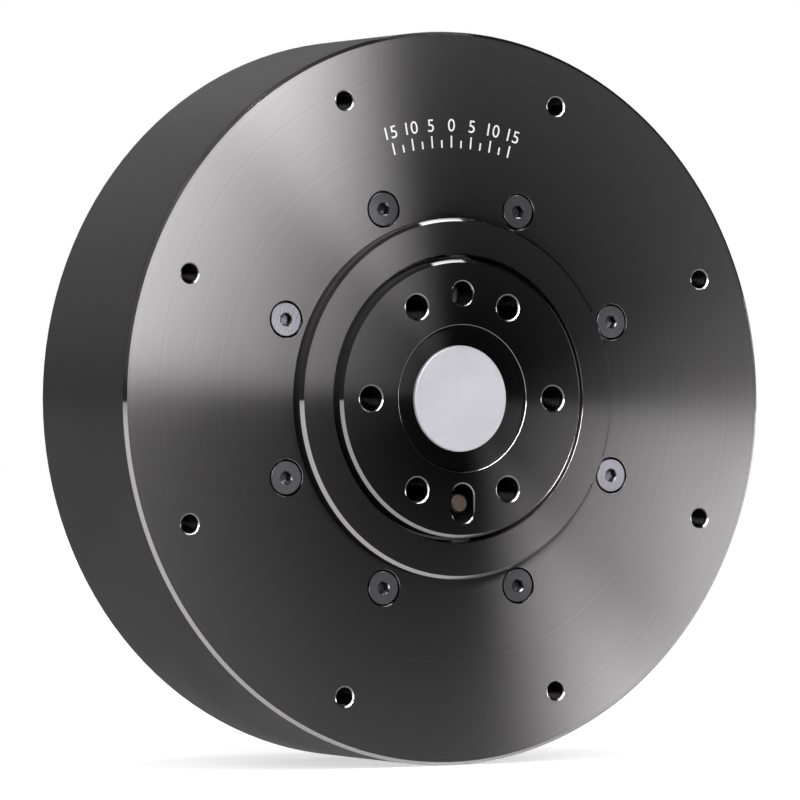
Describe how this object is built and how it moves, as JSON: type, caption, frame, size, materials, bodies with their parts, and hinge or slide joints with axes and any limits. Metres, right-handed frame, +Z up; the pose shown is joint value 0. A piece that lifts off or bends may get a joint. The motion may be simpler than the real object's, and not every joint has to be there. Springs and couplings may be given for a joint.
{
  "type": "robot joint actuator",
  "caption": "Flat round robot joint motor with a planetary gearbox inside, an output flange with threaded holes in a raised collar, tapped mounting holes round the rim and a rear cover.",
  "frame": {"origin": "centre of the front mounting face, on the output's axis", "axes": "+Y along the output's axis towards the back, +Z up through the sockets, +X to the right as seen from the front"},
  "size_m": [0.098, 0.0385, 0.098],
  "materials": {
    "housing_black": "satin",
    "cover_black": "satin",
    "flange_dark": "satin",
    "cap_grey": "satin",
    "screw_steel": "satin",
    "gear_steel": "satin",
    "pin_steel": "polished",
    "bearing_steel": "polished",
    "carrier_alloy": "satin",
    "rotor_steel": "satin",
    "magnet_nickel": "satin",
    "core_laminations": "matte",
    "copper_winding": "gloss",
    "lead_insulation": "satin",
    "board_black": "satin",
    "chip_black": "matte",
    "power_plug_yellow": "satin",
    "signal_plug_white": "satin"
  },
  "bodies": {
    "housing": {"front_housing": "housing_black", "front_screws": "screw_steel", "ring_gear": "gear_steel", "bearing_outer_ring": "bearing_steel", "stator_core": "core_laminations", "stator_coils": "copper_winding", "phase_leads": "lead_insulation", "rear_housing": "housing_black", "rear_bearing": "bearing_steel", "driver_board": "board_black", "board_components": "chip_black", "encoder_chip": "chip_black", "power_socket": "power_plug_yellow", "signal_sockets": "signal_plug_white", "rear_cover": "cover_black"},
    "rotor": {"rotor_bell": "rotor_steel", "rotor_magnets": "magnet_nickel", "sun_gear": "gear_steel", "encoder_magnet": "magnet_nickel"},
    "output": {"output_flange": "flange_dark", "centre_cap": "cap_grey", "bearing_inner_ring": "bearing_steel", "carrier_front": "carrier_alloy", "carrier_rear": "carrier_alloy", "planet_pins": "pin_steel", "sun_bearing": "bearing_steel"},
    "planet_1": {"planet_gear_1": "gear_steel"},
    "planet_2": {"planet_gear_2": "gear_steel"},
    "planet_3": {"planet_gear_3": "gear_steel"},
    "rollers": {"bearing_rollers": "bearing_steel"}
  },
  "joints": [
    {"name": "rotor_spin", "type": "hinge", "parent": "housing", "child": "rotor", "pos_m": [0, 0, 0], "axis": [0, -1, 0], "continuous": true},
    {"name": "output_turn", "type": "hinge", "parent": "housing", "child": "output", "pos_m": [0, 0, 0], "axis": [0, -1, 0], "continuous": true},
    {"name": "roller_orbit", "type": "hinge", "parent": "housing", "child": "rollers", "pos_m": [0, 0, 0], "axis": [0, -1, 0], "continuous": true},
    {"name": "planet_1_spin", "type": "hinge", "parent": "output", "child": "planet_1", "pos_m": [0.01169, 0, 0.00675], "axis": [0, -1, 0], "continuous": true},
    {"name": "planet_2_spin", "type": "hinge", "parent": "output", "child": "planet_2", "pos_m": [-0.01169, 0, 0.00675], "axis": [0, -1, 0], "continuous": true},
    {"name": "planet_3_spin", "type": "hinge", "parent": "output", "child": "planet_3", "pos_m": [0, 0, -0.0135], "axis": [0, -1, 0], "continuous": true}
  ],
  "couplings": [
    {"joint": "output_turn", "follows": "rotor_spin", "ratio": 0.11111},
    {"joint": "roller_orbit", "follows": "rotor_spin", "ratio": 0.053165},
    {"joint": "planet_1_spin", "follows": "rotor_spin", "ratio": -0.25397},
    {"joint": "planet_2_spin", "follows": "rotor_spin", "ratio": -0.25397},
    {"joint": "planet_3_spin", "follows": "rotor_spin", "ratio": -0.25397}
  ]
}
